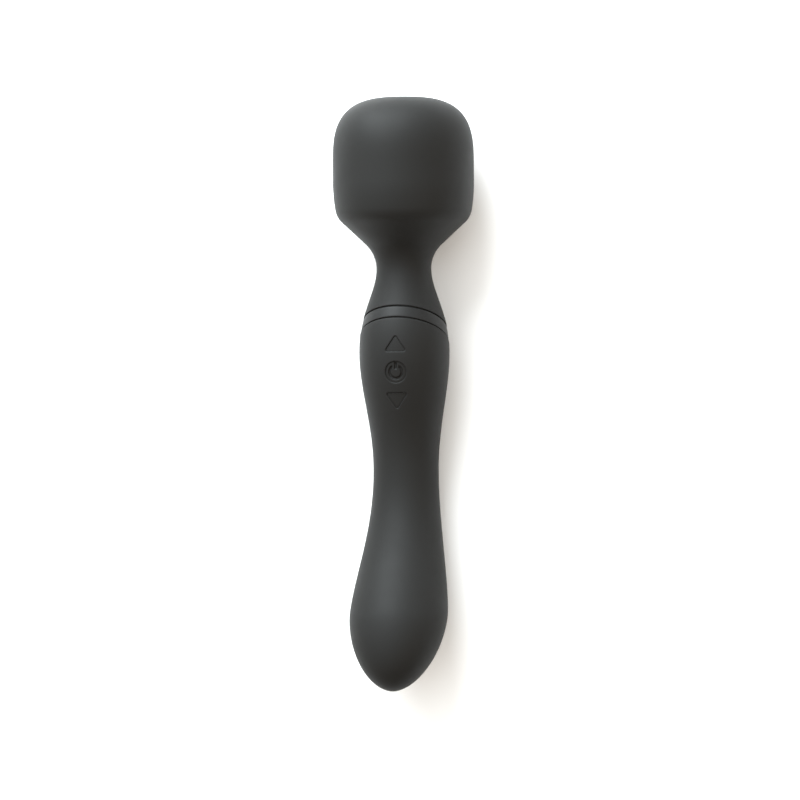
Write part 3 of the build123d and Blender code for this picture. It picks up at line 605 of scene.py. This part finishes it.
def keyRim(name, count):
    # (x, height, outward normal) round a key, starting at the bottom middle and going to +x
    rounding = k["cornerRounding"]
    samples = []
    if name == "power":
        for step in range(count):
            angle = 2 * math.pi * step / count - math.pi / 2
            normal = (math.cos(angle), math.sin(angle))
            across, up = (k["powerRadius"] * part for part in normal)
            samples.append((across, k["powerHeight"] + up, normal))
        return samples
    way = 1 if name == "up" else -1
    base = k["powerHeight"] + way * k["reach"]
    corners = [Vector((-k["arrowBase"] / 2, base)), Vector((k["arrowBase"] / 2, base)),
               Vector((0, base + way * k["arrowRise"]))]
    if way < 0:
        corners = [corners[1], corners[0], corners[2]]
    # inward corners of the rounding circles
    pulled = []
    for index, corner in enumerate(corners):
        a = (corners[index - 1] - corner).normalized()
        b = (corners[(index + 1) % 3] - corner).normalized()
        half = a.angle(b) / 2
        pulled.append(corner + (a + b).normalized() * rounding / math.sin(half))
    # sides and corners in turn: kind, start, end, first and last normal, size
    pieces = []
    for index in range(3):
        start, end = pulled[index], pulled[(index + 1) % 3]
        along = (end - start).normalized()
        normal = Vector((along.y, -along.x))
        after = (pulled[(index + 2) % 3] - end).normalized()
        nextNormal = Vector((after.y, -after.x))
        pieces.append(("side", start, end, normal, normal, (end - start).length))
        turnSize = normal.angle(nextNormal)
        pieces.append(("corner", end, end, normal, nextNormal, turnSize * (rounding + k["cornerSpread"])))
    whole = sum(piece[5] for piece in pieces)
    # the bottom middle: half way along the base of an up arrow, the point of a down arrow
    sizes = [piece[5] for piece in pieces]
    shift = sizes[0] / 2 if way > 0 else sum(sizes[:3]) + sizes[3] / 2
    for step in range(count):
        distance = (shift + whole * step / count) % whole
        for kind, start, end, normalA, normalB, size in pieces:
            if distance <= size:
                share = distance / size
                spot = start.lerp(end, share)
                if kind == "side":
                    normal = normalA
                else:
                    normal = Matrix.Rotation(normalA.angle(normalB) * share, 2) @ normalA
                spot = spot + normal * rounding
                samples.append((spot.x, spot.y, (normal.x, normal.y)))
                break
            distance -= size
    return samples


def turnOf(x, height, inset=0.0, middleTurn=0.0):
    # x runs to the right, as seen by someone who faces the skin at middleTurn
    # the same x at every inset makes a straight wall
    reach = handleRadius(height) - inset
    return middleTurn + math.asin(max(-0.99, min(0.99, x / reach)))


tileTurn = k["tileHalfWidth"] / wandShape["shoulderRadius"]
tileRows = {name: 2 * round((high - low) / k["tileRowHeight"]) for name, (low, high) in tileEdges.items()}
sideColumns = skinDetail["sideColumns"]
sideSpan = 2 * math.pi - 2 * tileTurn
frontTurns = [-tileTurn + 2 * tileTurn * i / k["tileColumns"] for i in range(k["tileColumns"] + 1)]
sideTurns = [tileTurn + sideSpan * i / sideColumns for i in range(1, sideColumns)]
handleTurns = frontTurns + sideTurns
tilesLow, tilesHigh = tileEdges["down"][0], tileEdges["up"][1]


def rowHeight(level, turn):
    # level rows, pulled down at the sides and back so that they stay under the oblique seam
    if level <= tilesLow:
        return level
    drop = max(0.0, seamHeight(tileTurn, lowerSeam) - seamHeight(turn, lowerSeam))
    if min(turn, 2 * math.pi - turn) <= tileTurn or turn < 0:
        drop = 0.0
    return tilesLow + (level - tilesLow) * (tilesHigh - drop - tilesLow) / (tilesHigh - tilesLow)


bulbTop, bulbRows, gripRows = wandShape["bulbHeight"], skinDetail["bulbRows"], skinDetail["gripRows"]
skinLevels = [bulbTop * (1 - math.cos(math.pi / 2 * step / bulbRows)) for step in range(1, bulbRows + 1)]
skinLevels += [bulbTop + (tilesLow - bulbTop) * step / gripRows for step in range(1, gripRows)]
firstTileRow = len(skinLevels)
for name in ("down", "power", "up"):
    low, high = tileEdges[name]
    skinLevels += [low + (high - low) * step / tileRows[name] for step in range(tileRows[name])]
skinLevels.append(tilesHigh)

portShape = {
    "height": 124.0, "radius": 1.6, "rounding": 0.45, "depths": (1.2, 2.5),
    "halfColumns": 3, "patchReach": 3.0,
}


def rowNear(height):
    # the row that passes nearest to a height on the back
    return min(range(len(skinLevels)), key=lambda row: abs(rowHeight(skinLevels[row], math.pi) - height))


portColumn = round((math.pi - tileTurn) / sideSpan * sideColumns) + k["tileColumns"]
portRows = (rowNear(portShape["height"] - portShape["patchReach"]),
            rowNear(portShape["height"] + portShape["patchReach"]))

# each opening takes a patch out of the grid: left, middle and right column, low and high row
portHalf = portShape["halfColumns"]
patches = {"port": (portColumn - portHalf, portColumn, portColumn + portHalf, *portRows)}
tileRow = firstTileRow
for name in ("down", "power", "up"):
    patches[name] = (0, k["tileColumns"] // 2, k["tileColumns"], tileRow, tileRow + tileRows[name])
    tileRow += tileRows[name]


def inPatch(column, row):
    return any(left <= column < right and low <= row < high
               for left, _, right, low, high in patches.values())


skinVertices = [skinPoint(turn, rowHeight(level, turn)) for level in skinLevels for turn in handleTurns]
columns = len(handleTurns)
skinFaces = []
for row in range(len(skinLevels) - 1):
    for column in range(columns):
        if inPatch(column, row):
            continue
        after = (column + 1) % columns
        skinFaces.append((row * columns + column, row * columns + after, (row + 1) * columns + after,
                          (row + 1) * columns + column))
skinVertices.append(place(0, sway(0.0), 0.0))  # the tip closes on one point
skinFaces += [((column + 1) % columns, column, len(skinVertices) - 1) for column in range(columns)]

# from the last row up to the oblique seam, and over its rounded edge into the groove
rounding = seamLook["edgeRounding"]
lip = [seamHeight(turn, lowerSeam, -halfGap) for turn in handleTurns]
before = [(len(skinLevels) - 1) * columns + column for column in range(columns)]
lipCount = skinDetail["lipRows"]
lipRows = [(step / lipCount, rounding, 0.0) for step in range(1, lipCount + 1)]
lipRows += [(1.0, offset, inset) for offset, inset in roundedEdge()[-2::-1]]
for share, offset, inset in lipRows:
    start = len(skinVertices)
    for turn, edge in zip(handleTurns, lip):
        top = rowHeight(tilesHigh, turn)
        skinVertices.append(skinPoint(turn, top + (edge - offset - top) * share, inset))
    for column in range(columns):
        after = (column + 1) % columns
        skinFaces.append((before[column], before[after], start + after, start + column))
    before = [start + column for column in range(columns)]


patchShares = (0.82, 0.62, 0.42, 0.25, 0.12)  # how near each ring stays to the border of its patch


def cutOpening(name, rimOf, middleTurn, edge, depths):
    # fills a patch with rings that run from its border to the opening's rounded rim and down its wall
    left, middle, right, low, high = patches[name]
    corners = [(column, low) for column in range(middle, right + 1)]
    corners += [(right, row) for row in range(low + 1, high)]
    corners += [(column, high) for column in range(right, left - 1, -1)]
    corners += [(left, row) for row in range(high - 1, low, -1)]
    corners += [(column, low) for column in range(left, middle)]
    border = [(handleTurns[column], rowHeight(skinLevels[row], handleTurns[column]))
              for column, row in corners]
    rim = rimOf(len(border))

    def rimRing(out, depth):
        # the rim moved outwards and inwards: (turn, height, inset)
        moved = [(x + out * n[0], z + out * n[1]) for x, z, n in rim]
        return [(turnOf(x, z, depth, middleTurn), z, depth) for x, z in moved]

    outer = rimRing(edge, 0.0)
    rings = []
    for share in patchShares:
        ring = []
        for (turn, height), (outTurn, outHeight, _) in zip(border, outer):
            ring.append((turn + (outTurn - turn) * (1 - share),
                         height + (outHeight - height) * (1 - share), 0.0))
        rings.append(ring)
    for step in range(k["roundingSteps"] + 1):
        angle = math.pi / 2 * step / k["roundingSteps"]
        rings.append(rimRing(edge * (1 - math.sin(angle)), edge * (1 - math.cos(angle))))
    rings += [rimRing(0.0, depth) for depth in depths]
    last = [row * columns + column for column, row in corners]
    for ring in rings:
        start = len(skinVertices)
        skinVertices.extend(skinPoint(turn, height, inset) for turn, height, inset in ring)
        for i in range(len(ring)):
            after = (i + 1) % len(ring)
            skinFaces.append((last[i], last[after], start + after, start + i))
        last = list(range(start, start + len(ring)))


def portRim(count):
    angles = [2 * math.pi * step / count - math.pi / 2 for step in range(count)]
    normals = [(math.cos(angle), math.sin(angle)) for angle in angles]
    size = portShape["radius"]
    return [(size * n[0], portShape["height"] + size * n[1], n) for n in normals]


for name in ("down", "power", "up"):
    cutOpening(name, lambda count: keyRim(name, count), 0.0, k["openingRounding"], k["openingDepths"])
cutOpening("port", portRim, math.pi, portShape["rounding"], portShape["depths"])

handleSkin = makeMesh("handleSkin", skinVertices, skinFaces, skinSilicone)
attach(handleSkin, "handle")
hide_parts("handle_sleeve")
print("handle skin ready")


markLook = {"radius": 2.5, "line": 0.9, "softness": 0.2, "depth": 0.6, "openingLines": 1.5}


def markDepth(x, height):
    # the power symbol sunk into the round key: a ring open at the top, and a bar in the opening
    dx, dz = x, height - k["powerHeight"]
    half = markLook["line"] / 2
    fromRing = abs(math.hypot(dx, dz) - markLook["radius"]) - half
    if dz > 0:
        fromRing = max(fromRing, markLook["openingLines"] * markLook["line"] - abs(dx))
    fromBar = max(abs(dx) - half, abs(dz - markLook["radius"]) - markLook["radius"] / 2)
    nearest = min(fromRing, fromBar)
    return markLook["depth"] * ease(0.5 - nearest / markLook["softness"] / 2)


def makeKey(name):
    count = k["rimSamples"]
    rim = keyRim(name, count)
    middleHeight = keyCentres[name]
    rounding, faceDepth = k["faceRounding"], k["faceDepth"][name]
    keyVertices, keyFaces = [], []

    def ringAt(pull, share, depth):
        # the rim moved outwards by pull, then shrunk to a share of its size
        points = []
        for x, z, n in rim:
            px = (x + pull * n[0]) * share
            pz = middleHeight + (z + pull * n[1] - middleHeight) * share
            sink = markDepth(px, pz) if name == "power" else 0.0
            points.append(skinPoint(turnOf(px, pz, depth + sink), pz, depth + sink))
        return points

    rows = [ringAt(-k["gap"], 1.0, faceDepth + depth) for depth in k["wallDepths"]]
    for step in range(k["faceSteps"] + 1):
        angle = math.pi / 2 * step / k["faceSteps"]
        rows.append(ringAt(-k["gap"] - rounding * (1 - math.cos(angle)), 1.0,
                           faceDepth + rounding * (1 - math.sin(angle))))
    inner = k["faceRings"][name]
    rows += [ringAt(-k["gap"] - rounding, 1 - step / inner, faceDepth) for step in range(1, inner)]
    for row in rows:
        keyVertices += row
    keyFaces += gridFaces(len(rows), count)
    last = (len(rows) - 1) * count
    sink = markDepth(0, middleHeight) if name == "power" else 0.0
    keyVertices.append(skinPoint(0, middleHeight, faceDepth + sink))
    keyFaces += [(last + i, last + (i + 1) % count, len(keyVertices) - 1) for i in range(count)]
    keyFaces.append(tuple(range(count))[::-1])
    made = makeMesh(name + "Key", keyVertices, keyFaces, keySilicone)
    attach(made, name + "_button")
    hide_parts(name + "_key")


for name in keyCentres:
    makeKey(name)
print("keys ready")

floorLook = {"dim": 0.83, "bright": 0.85, "cloudScale": 6.0, "roughness": 0.9, "reach": 4.0}
floorMaterial = bpy.data.materials.new("paleFloor")
floorMaterial.use_nodes = True
floorTree = floorMaterial.node_tree
floorShader = floorTree.nodes["Principled BSDF"]
floorNoise = addNode(floorTree, "ShaderNodeTexNoise", inputs={
    "Scale": floorLook["cloudScale"], "Detail": 2.0})
floorWhere = addNode(floorTree, "ShaderNodeTexCoord")
floorTone = addNode(floorTree, "ShaderNodeMapRange", inputs={
    "To Min": floorLook["dim"], "To Max": floorLook["bright"]})
floorTree.links.new(floorWhere.outputs["Object"], floorNoise.inputs["Vector"])
floorTree.links.new(floorNoise.outputs["Fac"], floorTone.inputs["Value"])
floorTree.links.new(floorTone.outputs["Result"], floorShader.inputs["Base Color"])
floorShader.inputs["Roughness"].default_value = floorLook["roughness"]
floorShader.inputs["Specular IOR Level"].default_value = 0.2
side = floorLook["reach"]
floorCorners = [(-side, -side, 0), (side, -side, 0), (side, side, 0), (-side, side, 0)]
floor = makeMesh("floor", floorCorners, [(0, 1, 2, 3)], floorMaterial, smooth=False)

studio = {
    "toward": (-0.34, 0.80, 0.50), "brightest": 2.35, "dimmest": 0.27, "cool": (0.93, 0.98, 1.0, 1),
    "warm": (1.0, 0.80, 0.60, 1),
    "keyPlace": (-0.17, 0.45, 0.34), "keyAim": (0, 0.09, 0.03), "keyPower": 8.0, "keySize": 0.5,
    "keyTint": (0.9, 0.97, 1.0),
    "fillPlace": (0.9, -0.3, 0.9), "fillAim": (0, 0, 0.03), "fillPower": 1.5, "fillSize": 1.2,
    "fillTint": (1.0, 0.85, 0.7),
}
world = bpy.data.worlds.new("studioWorld")
world.use_nodes = True
worldTree = world.node_tree
# one wide soft dome: bright and cool on one side, dimmer and warmer on the other
direction = addNode(worldTree, "ShaderNodeTexCoord")
facing = addNode(worldTree, "ShaderNodeVectorMath", {"operation": "DOT_PRODUCT"}, {1: studio["toward"]})
domeStrength = addNode(worldTree, "ShaderNodeMapRange", inputs={
    "From Min": -0.7, "From Max": 0.95, "To Min": studio["dimmest"], "To Max": studio["brightest"]})
domeShare = addNode(worldTree, "ShaderNodeMapRange", inputs={"From Min": -0.4, "From Max": 0.6})
domeColor = addNode(worldTree, "ShaderNodeMix", {"data_type": "RGBA"})
domeColor.inputs["A"].default_value, domeColor.inputs["B"].default_value = studio["warm"], studio["cool"]
dome = worldTree.nodes["Background"]
worldTree.links.new(direction.outputs["Generated"], facing.inputs[0])
worldTree.links.new(facing.outputs["Value"], domeStrength.inputs["Value"])
worldTree.links.new(facing.outputs["Value"], domeShare.inputs["Value"])
worldTree.links.new(domeShare.outputs["Result"], domeColor.inputs["Factor"])
worldTree.links.new(domeColor.outputs["Result"], dome.inputs["Color"])
worldTree.links.new(domeStrength.outputs["Result"], dome.inputs["Strength"])
bpy.context.scene.world = world


def softLight(kind):
    # a round soft lamp, its values taken from the studio's by kind
    lamp = bpy.data.lights.new(kind + "Light", "AREA")
    lamp.shape = "DISK"
    lamp.size = studio[kind + "Size"]
    lamp.energy = studio[kind + "Power"]
    lamp.color = studio[kind + "Tint"]
    made = bpy.data.objects.new(lamp.name, lamp)
    bpy.context.scene.collection.objects.link(made)
    position = Vector(studio[kind + "Place"])
    made.location = position
    made.visible_camera = False
    made.rotation_euler = (Vector(studio[kind + "Aim"]) - position).to_track_quat("-Z", "Y").to_euler()


softLight("key")
softLight("fill")

view = {
    "aroundAxis": 12.0, "roll": -0.33,  # degrees
    "middleHeight": 115.5, "aside": -1.87,  # mm
    "distance": 2.2, "lens": 247.0, "sensor": 36.0,
}
around = math.radians(view["aroundAxis"])
outward = (axisFront * math.cos(around) + axisRight * math.sin(around)).normalized()
cameraData = bpy.data.cameras.new("camera")
cameraData.lens = view["lens"]
cameraData.sensor_width = view["sensor"]
cameraData.clip_end = 20
camera = bpy.data.objects.new("camera", cameraData)
bpy.context.scene.collection.objects.link(camera)
right = axisUp.cross(outward).normalized()
aim = place(0, 0, view["middleHeight"]) + right * view["aside"] / 1000
turned = Matrix((right, axisUp, outward)).transposed().to_4x4()
camera.matrix_world = (Matrix.Translation(aim + outward * view["distance"]) @ turned
                       @ Matrix.Rotation(math.radians(view["roll"]), 4, "Z"))
bpy.context.scene.camera = camera
bpy.context.scene.view_settings.view_transform = "Standard"
print("stage ready")
